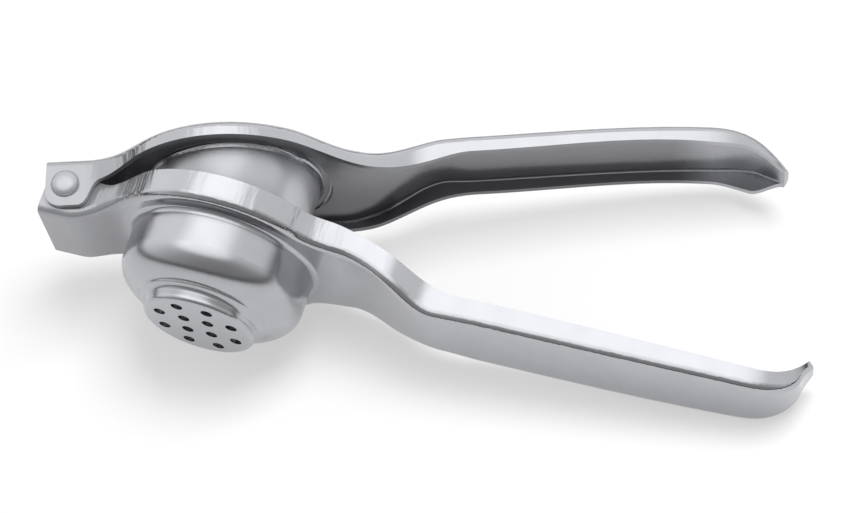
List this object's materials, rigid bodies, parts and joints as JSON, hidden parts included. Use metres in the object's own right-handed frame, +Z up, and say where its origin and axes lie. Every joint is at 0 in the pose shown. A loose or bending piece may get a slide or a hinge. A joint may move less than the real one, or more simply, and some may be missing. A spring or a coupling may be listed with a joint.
{
  "type": "hinged lemon squeezer",
  "caption": "Hinged hand squeezer of pressed sheet steel: a cup arm with a perforated bowl and a presser arm with a round dome, turning on one rivet, lying open on its side.",
  "frame": {"origin": "on the surface it lies on, under the middle of the open squeezer's bounding box", "axes": "+Z up; +X runs from the hinge to the handle tips; +Y points from the cup arm to the presser arm"},
  "size_m": [0.211, 0.0895, 0.0657],
  "materials": {
    "arm_steel": "polished",
    "rivet_steel": "polished"
  },
  "bodies": {
    "cup_arm": {"cup_arm": "arm_steel"},
    "presser": {"presser_arm": "arm_steel", "hinge_rivet": "rivet_steel"}
  },
  "joints": [
    {"name": "arm_hinge", "type": "hinge", "parent": "cup_arm", "child": "presser", "pos_m": [-0.09635, -0.01902, 0.03684], "axis": [0.135, -0.0879, 0.9869], "range_deg": [-13, 70]}
  ]
}
